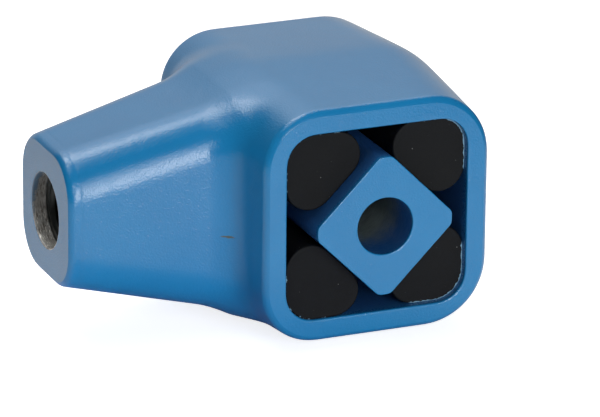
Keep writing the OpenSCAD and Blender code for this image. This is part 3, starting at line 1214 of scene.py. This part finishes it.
@dataclass
class CoreBar:
    """The square bar with its bore, which carries the mounting bolt."""

    paint: bpy.types.Material
    bore_metal: bpy.types.Material
    side: float = 45.0 * MM
    corner_flat: float = 5.2 * MM
    bore_r: float = 12.0 * MM
    half_len: float = 66.6 * MM
    edge_round: float = 0.25 * MM
    bore_lip: float = 0.5 * MM
    # Height and wave length of the saw's unevenness along the ends' edges, and how deep it goes
    saw_height: float = 0.12 * MM
    saw_wave: float = 3.5 * MM
    saw_depth: float = 1.5 * MM
    # Depth behind the ends over which painted shade darkens the paint of the sides
    painted_shade_depth: float = 1.6 * MM
    # Margin of the end faces' outer ring, shares of the way to it from the bore, and depths of rings
    margin: float = 1.2 * MM
    face_shares: tuple[float, ...] = (0.15, 0.6)
    shoulder: float = 1.6 * MM
    bore_depths: tuple[float, ...] = (1.6 * MM, 3 * MM, 12 * MM)
    # Rings along the sides, as shares of the way from the middle to the near end
    side_shares: tuple[float, ...] = (0.85, 0.45, 0.0, -0.45, -0.85)
    round_rings: int = 3
    levels: int = 1

    def build(self) -> bpy.types.Object:
        """Builds and dresses the bar.

        Returns:
            The piece that stands for the core.
        """
        bm = bmesh.new()
        lip = quarter_round(self.bore_lip, self.round_rings)
        edge = [(self.margin, 0.0), *quarter_round(self.edge_round, self.round_rings), (0.0, self.shoulder)]
        first = first_ring(bm, AROUND, partial(self._bore, 0.0, self.bore_depths[-1], -1))
        ring = first
        for depth in self.bore_depths[-2::-1]:
            ring = grow(bm, ring, partial(self._bore, 0.0, depth, -1), material=1)
        for inset, depth in lip[::-1]:
            ring = grow(bm, ring, partial(self._bore, inset, depth, -1))
        for share in self.face_shares:
            ring = grow(bm, ring, partial(self._face, share, -1))
        for inset, depth in edge:
            ring = grow(bm, ring, partial(self._outline, -inset, depth, -1))
        for share in self.side_shares:
            ring = grow(bm, ring, partial(self._outline, 0.0, self.half_len * (1 - share), -1))
        for inset, depth in edge[::-1]:
            ring = grow(bm, ring, partial(self._outline, -inset, depth, 1))
        for share in self.face_shares[::-1]:
            ring = grow(bm, ring, partial(self._face, share, 1))
        for inset, depth in lip:
            ring = grow(bm, ring, partial(self._bore, inset, depth, 1))
        for depth in self.bore_depths:
            ring = grow(bm, ring, partial(self._bore, 0.0, depth, 1), material=1)
        joined = bmesh.ops.bridge_loops(bm, edges=ring + first)
        for face in joined["faces"]:
            face.material_index = 1
        self._mark_painted_shade(bm)
        piece = finished_piece(bm, "core_bar", self.levels, [self.paint, self.bore_metal])
        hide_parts("core")
        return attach(piece, Body.CORE.value)

    def _gap(self, offset: float, points: np.ndarray) -> np.ndarray:
        """Measures the distance from the bar's outline.

        Args:
            offset: How far the outline is grown.
            points: Rows of X, Y and Z.

        Returns:
            The distances from the flats and the corner flats.
        """
        across = self.side / 2 + offset
        tip = self.side / math.sqrt(2) - self.corner_flat / 2 + offset
        x, z = np.abs(points[:, 0]), np.abs(points[:, 2])
        return np.maximum((x + z) / math.sqrt(2) - across, np.maximum(x, z) - tip)

    def _outline(self, offset: float, depth: float, end: int, points: np.ndarray) -> np.ndarray:
        """Places a ring parallel to the bar's outline.

        Args:
            offset: How far it lies outside the outline.
            depth: Its depth from the end.
            end: -1 for the near end, 1 for the far end.
            points: The last ring's points.

        Returns:
            The new ring's points, a little uneven close to the end.
        """
        hubs = repeated([0, end * (self.half_len - depth), 0], points)
        found = reach(partial(self._gap, offset), hubs, points * [1, 0, 1], SHORT_RAY_START, self.side)
        flat = found * [1, 0, 1]
        saw = ripple(flat, self.saw_height, self.saw_wave) * max(0.0, 1 - depth / self.saw_depth)
        return flat * (1 + saw / np.linalg.norm(flat, axis=1))[:, None] + hubs

    def _bore(self, inset: float, depth: float, end: int, points: np.ndarray) -> np.ndarray:
        """Places a round ring of the bore, widened by an inset, at a depth from one end."""
        return unit(points * [1, 0, 1]) * (self.bore_r + inset) + [0, end * (self.half_len - depth), 0]

    def _face(self, share: float, end: int, points: np.ndarray) -> np.ndarray:
        """Places a ring on an end face.

        Args:
            share: Its share of the way from the bore's lip to the outer ring.
            end: -1 for the near end, 1 for the far end.
            points: The last ring's points.

        Returns:
            The new ring's points.
        """
        inner = self._bore(self.bore_lip, 0.0, end, points)
        outer = self._outline(-self.margin, 0.0, end, points)
        return mix(inner, outer, share)

    def _mark_painted_shade(self, bm: BMesh) -> None:
        """Writes the attribute of painted shade, which goes to 1 on the bar's sides, behind its ends.

        Args:
            bm: The finished mesh.
        """
        layer = bm.verts.layers.float.new(Mark.PAINTED_SHADE.value)
        for vert in bm.verts:
            depth = self.half_len - abs(vert.co.y) - self.edge_round
            vert[layer] = clamped(depth / self.painted_shade_depth)


@dataclass
class RubberCord:
    """One round cord of rubber, pressed into a corner of the tunnel."""

    rubber: bpy.types.Material
    quarter: Quarter
    tunnel_half: float = Housing.tunnel_half
    tunnel_corner_r: float = Housing.tunnel_corner_r
    rim_y: float = CastingForm.rim_y
    # Half of the bar's width, with a hair's breadth of room
    core_half: float = 22.52 * MM
    bulge_r: float = 10.5 * MM
    # Distance of the section's middle from the core's axis, along X and along Z
    hub_at: float = 25.6 * MM
    far_recess: float = 3.0 * MM
    neck_recess: float = 0.8 * MM
    edge_round: float = 0.7 * MM
    # Depth of the cut faces' dish and how fast it falls, and height and wave length of their unevenness
    dish: float = 0.35 * MM
    dish_slope: float = 1.6
    cut_height: float = 0.08 * MM
    cut_wave: float = 7 * MM
    cap_shares: tuple[float, ...] = (0.05, 0.2, 0.3, 0.45, 0.6)
    # How far the line of paint reaches from the wall and from the end, and its strength near the neck
    mist_width: float = 1.2 * MM
    mist_depth: float = 1.6 * MM
    neck_side_mist: float = 0.5
    # Distances from the core's axis over which the cord bends when the core turns
    blend_start: float = 44 * MM
    blend_end: float = 23 * MM
    # Depths of the first and second ring behind the rounded edge, and rings along the cord
    shoulder: float = 2 * MM
    first_step: float = 8 * MM
    long_rings: int = 9
    around: int = 72
    round_rings: int = 3
    levels: int = 1
    half_len: float = field(init=False)

    def __post_init__(self) -> None:
        """Works out the cord's half length from its recess."""
        far_side = self.quarter.value[1] > 0
        self.half_len = self.rim_y - (self.far_recess if far_side else self.neck_recess)

    def build(self) -> bpy.types.Object:
        """Builds and dresses the cord.

        Returns:
            The piece that stands for the cord's node.
        """
        node, side_x, side_z = self.quarter.value
        bm = bmesh.new()
        rounds = quarter_round(self.edge_round, self.round_rings)
        near = first_ring(bm, self.around, self._start)
        ring = near
        for inset, depth in [*rounds[1:], (0.0, self.shoulder)]:
            ring = grow(bm, ring, partial(self._outline, -inset, depth, -1))
        for depth in np.linspace(self.first_step, 2 * self.half_len - self.first_step, self.long_rings):
            ring = grow(bm, ring, partial(self._outline, 0.0, depth, -1))
        for inset, depth in [(0.0, self.shoulder), *rounds[::-1]]:
            ring = grow(bm, ring, partial(self._outline, -inset, depth, 1))
        for edge, end in ((near, -1), (ring, 1)):
            self._cap(bm, edge, end)
        bmesh.ops.scale(bm, vec=(side_x, 1, side_z), verts=bm.verts)
        self._mark_mist(bm, 1.0 if side_x > 0 else self.neck_side_mist)
        piece = finished_piece(bm, node.replace("rubber_", ""), self.levels, [self.rubber])
        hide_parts(node)
        diagonal = Vector((side_x, 0, side_z)).normalized()
        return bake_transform(piece, Body.CASING.value, Body.CORE.value,
                        start=diagonal * self.blend_start, end=diagonal * self.blend_end)

    def _hub(self) -> np.ndarray:
        """Gives the section's middle, where its rays start."""
        return np.array([self.hub_at, 0, self.hub_at])

    def _gap(self, offset: float, points: np.ndarray) -> np.ndarray:
        """Measures the distance from the section: its flats on wall and core, and its rounds.

        Args:
            offset: How far the section is grown.
            points: Rows of X, Y and Z.

        Returns:
            The distances.
        """
        outer = self.tunnel_half - self.bulge_r
        inner = (self.core_half + self.bulge_r) * math.sqrt(2) - outer
        corner = self.tunnel_half - self.tunnel_corner_r
        foot = self.bulge_r / math.sqrt(2)
        rounds = [(inner, outer, self.bulge_r), (outer, inner, self.bulge_r),
                  (corner, corner, self.tunnel_corner_r)]
        flats = [(outer - foot, inner - foot), (self.tunnel_half, inner), (self.tunnel_half, corner),
                 (corner, self.tunnel_half), (inner, self.tunnel_half), (inner - foot, outer - foot)]
        x, z = points[:, 0], points[:, 2]
        sides = []
        for (x0, z0), (x1, z1) in zip(flats, flats[1:] + flats[:1]):
            length = math.hypot(x1 - x0, z1 - z0)
            sides.append(((z1 - z0) * (x - x0) - (x1 - x0) * (z - z0)) / length)
        rings = [np.hypot(x - cx, z - cz) - radius for cx, cz, radius in rounds]
        return np.minimum(np.max(sides, axis=0), np.min(rings, axis=0)) - offset

    def _start(self, points: np.ndarray) -> np.ndarray:
        """Places the first ring, which comes as a circle round the axis."""
        return self._outline(-self.edge_round, 0.0, -1, points + self._hub())

    def _outline(self, offset: float, depth: float, end: int, points: np.ndarray) -> np.ndarray:
        """Places a ring parallel to the section's outline.

        Args:
            offset: How far it lies outside the outline.
            depth: Its depth from the end.
            end: -1 for the near end, 1 for the far end.
            points: The last ring's points.

        Returns:
            The new ring's points.
        """
        hub = self._hub()
        hubs = repeated(hub + [0, end * (self.half_len - depth), 0], points)
        ways = (points - hub) * [1, 0, 1]
        return reach(partial(self._gap, offset), hubs, ways, SHORT_RAY_START, self.tunnel_half)

    def _cap(self, bm: BMesh, ring: list[BMEdge], end: int) -> None:
        """Closes one end with a cut face that is slightly dished and uneven.

        Args:
            bm: The mesh.
            ring: The end's outer ring.
            end: -1 for the near end, 1 for the far end.
        """
        for share in self.cap_shares:
            ring = grow(bm, ring, partial(self._cap_ring, share, end))
        verts = ring_verts(ring)
        bmesh.ops.pointmerge(bm, verts=verts, merge_co=sum((v.co for v in verts), Vector()) / len(verts))

    def _cap_ring(self, share: float, end: int, points: np.ndarray) -> np.ndarray:
        """Places a ring of a cut face.

        Args:
            share: Its share of the way to the middle that is left.
            end: -1 for the near end, 1 for the far end.
            points: The last ring's points.

        Returns:
            The new ring's points, which lie a little inwards.
        """
        level = [0, end * self.half_len, 0]
        found = mix(points * [1, 0, 1] + level, self._hub() + level, share)
        sunk = self.dish * (1 - (1 - min(1.0, share * self.dish_slope)) ** 2)
        found[:, 1] -= end * (sunk + ripple(found, self.cut_height, self.cut_wave) + self.cut_height)
        return found

    def _mark_mist(self, bm: BMesh, strength: float) -> None:
        """Writes the attribute that is high along the cut faces' edges beside the tunnel's walls.

        Args:
            bm: The finished mesh.
            strength: Its greatest value.
        """
        layer = bm.verts.layers.float.new(Mark.MIST.value)
        points = np.array([v.co[:] for v in bm.verts])
        wall = self.tunnel_half
        from_wall = -rounded_gap(points[:, 0], points[:, 2], wall, wall, self.tunnel_corner_r)
        near_wall = np.clip(1 - from_wall / self.mist_width, 0, 1)
        near_end = np.clip(1 - (self.half_len - np.abs(points[:, 1])) / self.mist_depth, 0, 1)
        for vert, share in zip(bm.verts, near_wall * near_end * strength):
            vert[layer] = share


@dataclass(frozen=True)
class SoftBox:
    """A lamp with a rectangular face that is turned to the part from one direction."""

    name: str
    azimuth: float
    elevation: float
    width: float
    height: float
    radiance: float
    distance: float = 1.3

    def build(self, aim: Vector) -> None:
        """Hangs the lamp.

        Args:
            aim: The point that it faces.
        """
        light = bpy.data.lights.new(self.name, "AREA")
        light.shape = "RECTANGLE"
        light.size = self.width
        light.size_y = self.height
        light.energy = self.radiance * math.pi * self.width * self.height
        lamp = bpy.data.objects.new(self.name, light)
        bpy.context.scene.collection.objects.link(lamp)
        a, e = math.radians(self.azimuth), math.radians(self.elevation)
        away = Vector((math.sin(a) * math.cos(e), -math.cos(a) * math.cos(e), math.sin(e)))
        lamp.location = aim + away * self.distance
        lamp.rotation_euler = away.to_track_quat("Z", "Y").to_euler()


@dataclass
class Studio:
    """Camera, lamps, backdrop and floor."""

    # The camera that the photograph was taken with, as seen from the part
    azimuth: float = -22.884
    elevation: float = 19.835
    roll: float = 0.573
    distance: float = 2054.39 * MM
    aim_right: float = 8.459 * MM
    aim_up: float = 13.965 * MM
    focal_px: float = 5000.0
    image_width: int = 600
    sensor: float = 36.0
    clip_end: float = 20.0
    lamp_aim: tuple[float, float, float] = (-0.03, 0.0, 0.0)
    lamps: tuple[SoftBox, ...] = (
        SoftBox("front_box", 5.5, 9.0, 0.50, 1.00, 4.0),
        SoftBox("front_core", 5.5, 5.0, 0.42, 0.56, 4.9),
        SoftBox("side_box", -15.0, 24.0, 0.28, 0.36, 3.5),
        SoftBox("top_box", -138.0, 70.0, 0.60, 0.60, 4.7),
        SoftBox("over_box", -70.0, 66.0, 0.60, 0.60, 1.2),
    )
    # Direction of the pale backdrop, and the cosines between which it fades to the dark beside it
    backdrop_way: tuple[float, float, float] = (0.2, 0.97, 0.0)
    backdrop_edge: tuple[float, float] = (0.74, 0.9)
    dark: Colour = (0.03, 0.03, 0.032)
    # Its greys at its foot and at its head, and the sines of the heights where they meet
    backdrop_foot: Colour = (0.5, 0.5, 0.5)
    backdrop_head: Colour = (1.8, 1.8, 1.8)
    backdrop_rise: tuple[float, float] = (0.38, 0.8)
    floor_radius: float = 0.5
    floor_fade: float = 0.2
    floor_segments: int = 96
    floor_white: Colour = (0.92, 0.92, 0.92)
    floor_glow: float = 0.8
    # Middle and radii of the painted shadow on the floor under the part, seen only in reflections, and the
    # painted blue bounce there
    painted_shadow_at: tuple[float, float] = (-0.045, -0.02)
    painted_shadow_r: tuple[float, float] = (0.06, 0.13)
    painted_bounce_blue: Colour = (0.32, 0.38, 0.76)
    # Middle and radii of the painted pool of light on the floor in front, seen only in reflections, and the
    # glow there and elsewhere
    painted_light_at: tuple[float, float] = (0.05, -0.16)
    painted_light_r: tuple[float, float] = (0.12, 0.32)
    painted_light_glow: float = 0.22
    floor_gloss: float = 0.08

    def build(self) -> None:
        """Sets the studio up."""
        self._camera()
        self._world()
        self._floor()
        for lamp in self.lamps:
            lamp.build(Vector(self.lamp_aim))
        bpy.context.scene.view_settings.view_transform = "Standard"

    def _camera(self) -> None:
        """Puts the camera where it sees the part as the photograph does."""
        a, e, r = (math.radians(v) for v in (self.azimuth, self.elevation, self.roll))
        ahead = Vector((-math.sin(a) * math.cos(e), math.cos(a) * math.cos(e), -math.sin(e)))
        level = ahead.cross(Vector((0, 0, 1))).normalized()
        upright = level.cross(ahead)
        right = level * math.cos(r) + upright * math.sin(r)
        up = upright * math.cos(r) - level * math.sin(r)
        data = bpy.data.cameras.new("camera")
        data.sensor_width = self.sensor
        data.lens = self.focal_px / self.image_width * self.sensor
        data.clip_end = self.clip_end
        camera = bpy.data.objects.new("camera", data)
        bpy.context.scene.collection.objects.link(camera)
        place = -ahead * self.distance - right * self.aim_right - up * self.aim_up
        axes = Matrix((right, up, -ahead)).transposed().to_4x4()
        camera.matrix_world = Matrix.Translation(place) @ axes
        bpy.context.scene.camera = camera

    def _world(self) -> None:
        """Makes a dark studio with a pale backdrop behind the part, which the camera sees as white."""
        world = bpy.data.worlds.new("studio")
        world.use_nodes = True
        bpy.context.scene.world = world
        bench = Bench(world.node_tree)
        way = bench.add("TexCoord").outputs["Generated"]
        level = bench.vector("NORMALIZE", bench.vector("MULTIPLY", way, (1.0, 1.0, 0.0)))
        behind = bench.measure("DOT_PRODUCT", level, self.backdrop_way)
        rise = bench.ramp(bench.coordinate(way, "Z"), *self.backdrop_rise)
        backdrop = bench.tint(rise, self.backdrop_foot, self.backdrop_head)
        studio = bench.tint(bench.ramp(behind, *self.backdrop_edge), self.dark, backdrop)
        rays = bench.add("LightPath")
        colour = bench.tint(rays.outputs["Is Camera Ray"], studio, WHITE)
        light = bench.add("Background", {"Color": colour, "Strength": 1.0})
        bench.add("OutputWorld", {"Surface": light.outputs[0]})

    def _floor(self) -> None:
        """Lays a round pale floor that fades into the backdrop."""
        centre = (cad_low + cad_high) / 2
        bm = bmesh.new()
        bmesh.ops.create_circle(bm, segments=self.floor_segments, radius=self.floor_radius, cap_ends=True,
                                matrix=Matrix.Translation((centre.x, centre.y, cad_low.z)))
        floor = finished_piece(bm, "floor", 0, [self._floor_finish(centre)])

    def _floor_finish(self, centre: Vector) -> bpy.types.Material:
        """Builds the floor's white, which shows as white to the camera and keeps the part's shadow.

        Args:
            centre: The floor's middle.

        Returns:
            The floor's material.
        """
        material = bpy.data.materials.new("pale_floor")
        material.use_nodes = True
        bench = Bench(material.node_tree)
        where = bench.add("TexCoord").outputs["Object"]
        rays = bench.add("LightPath")
        mirrored = bench.maths("MAXIMUM", rays.outputs["Is Glossy Ray"], rays.outputs["Is Transmission Ray"])
        # In reflections the floor has a painted pool of light in front of the part, and a painted shadow with
        # a painted blue bounce under it
        painted_shadow = self._disc(bench, where, self.painted_shadow_at, self.painted_shadow_r)
        front = self._disc(bench, where, self.painted_light_at, self.painted_light_r)
        shade = bench.tint(bench.maths("MULTIPLY", painted_shadow, mirrored), self.floor_white, self.painted_bounce_blue)
        matt = bench.add("BsdfDiffuse", {"Color": shade})
        gloss = bench.plus(self.floor_gloss, front, self.painted_light_glow)
        gloss = bench.maths("MULTIPLY", gloss, bench.maths("SUBTRACT", 1.0, painted_shadow))
        seen = bench.maths("MAXIMUM", bench.maths("MULTIPLY", rays.outputs["Is Camera Ray"], self.floor_glow),
                           bench.maths("MULTIPLY", mirrored, gloss))
        glow = bench.add("Emission", {"Color": (*WHITE, 1.0), "Strength": seen})
        both = bench.add("AddShader", {0: matt.outputs[0], 1: glow.outputs[0]})
        clear = bench.add("BsdfTransparent")
        # Lamp light that comes from below the floor's level passes it, as it passes a small table
        inner = self._disc(bench, where, (centre.x, centre.y),
                           (self.floor_radius - self.floor_fade, self.floor_radius))
        solid = bench.maths("MULTIPLY", inner, bench.maths("SUBTRACT", 1.0, rays.outputs["Is Shadow Ray"]))
        shown = bench.add("MixShader", {0: solid, 1: clear.outputs[0], 2: both.outputs[0]})
        bench.add("OutputMaterial", {"Surface": shown.outputs[0]})
        return material

    def _disc(self, bench: Bench, where: Socket, middle: tuple[float, float],
              radii: tuple[float, float]) -> Socket:
        """Marks a disc of the floor.

        Args:
            bench: The floor's bench.
            where: Coordinates, in metres.
            middle: X and Y of the disc's middle.
            radii: Radius up to which it is full, and radius at which it has faded.

        Returns:
            The mask, from 1 inside the disc to 0 outside it.
        """
        distance = bench.measure("DISTANCE", where, (*middle, cad_low.z))
        return bench.ramp(distance, radii[1], radii[0])


def main() -> None:
    """Builds the studio and every piece, and reports each one."""
    effects = Effects()
    paint = GlossPaint("gloss_blue_paint", effects).build()
    hole_metal = BareMetal("bare_cast_metal", effects, into=(1.0, 0.0, 0.0), mouth=CastingForm.neck_reach,
                           solid=-0.5 * MM, bare=2.4 * MM, lean=0.15, painted_scratch_glints=1.0).build()
    # The bore's painted shade darkens its metal deep inside
    bore_metal = BareMetal("bare_bore_metal", effects, into=(0.0, 1.0, 0.0), mouth=CoreBar.half_len,
                           solid=2 * MM, bare=34 * MM, ragged=0.3, painted_shade_start=26 * MM, painted_shade_full=60 * MM,
                           metal=(0.26, 0.33, 0.33), stain=(0.21, 0.27, 0.27),
                           paint=(0.015, 0.12, 0.36)).build()
    rubber = CutRubber("black_rubber", effects).build()
    Studio().build()
    pieces = [Housing(paint, hole_metal).build(), ThreadRidge(hole_metal).build(),
              CoreBar(paint, bore_metal).build()]
    pieces += [RubberCord(rubber, quarter).build() for quarter in Quarter]
    for piece in pieces:
        LOG.info("%s: %d faces", piece.name, len(piece.data.polygons))


if __name__ == "__main__":
    main()
